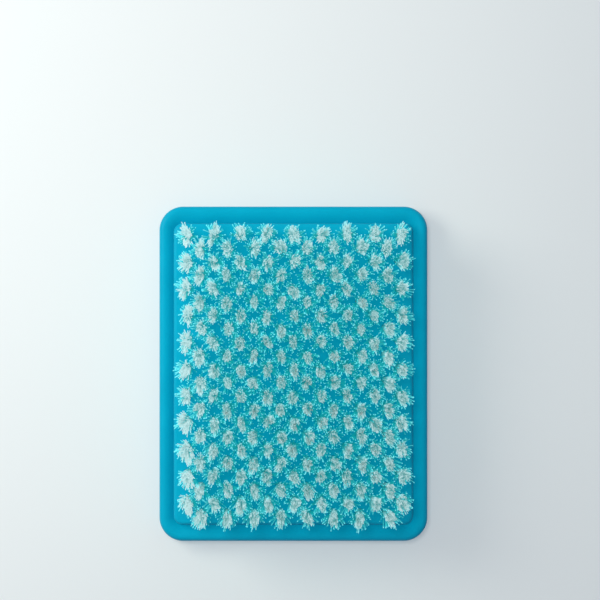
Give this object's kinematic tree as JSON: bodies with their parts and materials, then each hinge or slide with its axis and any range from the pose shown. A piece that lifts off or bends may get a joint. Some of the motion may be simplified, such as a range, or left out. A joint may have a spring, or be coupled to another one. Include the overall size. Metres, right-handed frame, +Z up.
{
  "type": "needle felting mat",
  "caption": "Flat rectangular felting mat: a moulded plastic base with a raised bed of staggered bristle tufts that catch a felting needle.",
  "frame": {"origin": "on the table, under the middle of the base", "axes": "+Z up out of the bristles, +Y along the long side towards the end whose row has the most tufts, +X along the short side"},
  "size_m": [0.089, 0.111, 0.032],
  "materials": {
    "base_plastic": "moulded cyan-blue plastic with a soft gloss",
    "bristle_nylon": "translucent white nylon filament, trimmed flat",
    "anchor_metal": "plain drawn flat wire"
  },
  "bodies": {
    "root": {"base_block": "base_plastic", "bristle_bed_1": "bristle_nylon", "bristle_bed_2": "bristle_nylon", "bristle_bed_3": "bristle_nylon", "bristle_bed_4": "bristle_nylon", "anchor_row_01": "anchor_metal", "anchor_row_02": "anchor_metal", "anchor_row_03": "anchor_metal", "anchor_row_04": "anchor_metal", "anchor_row_05": "anchor_metal", "anchor_row_06": "anchor_metal", "anchor_row_07": "anchor_metal", "anchor_row_08": "anchor_metal", "anchor_row_09": "anchor_metal", "anchor_row_10": "anchor_metal", "anchor_row_11": "anchor_metal", "anchor_row_12": "anchor_metal", "anchor_row_13": "anchor_metal", "anchor_row_14": "anchor_metal", "anchor_row_15": "anchor_metal", "anchor_row_16": "anchor_metal", "anchor_row_17": "anchor_metal", "anchor_row_18": "anchor_metal", "anchor_row_19": "anchor_metal", "anchor_row_20": "anchor_metal", "anchor_row_21": "anchor_metal", "anchor_row_22": "anchor_metal"}
  },
  "joints": []
}
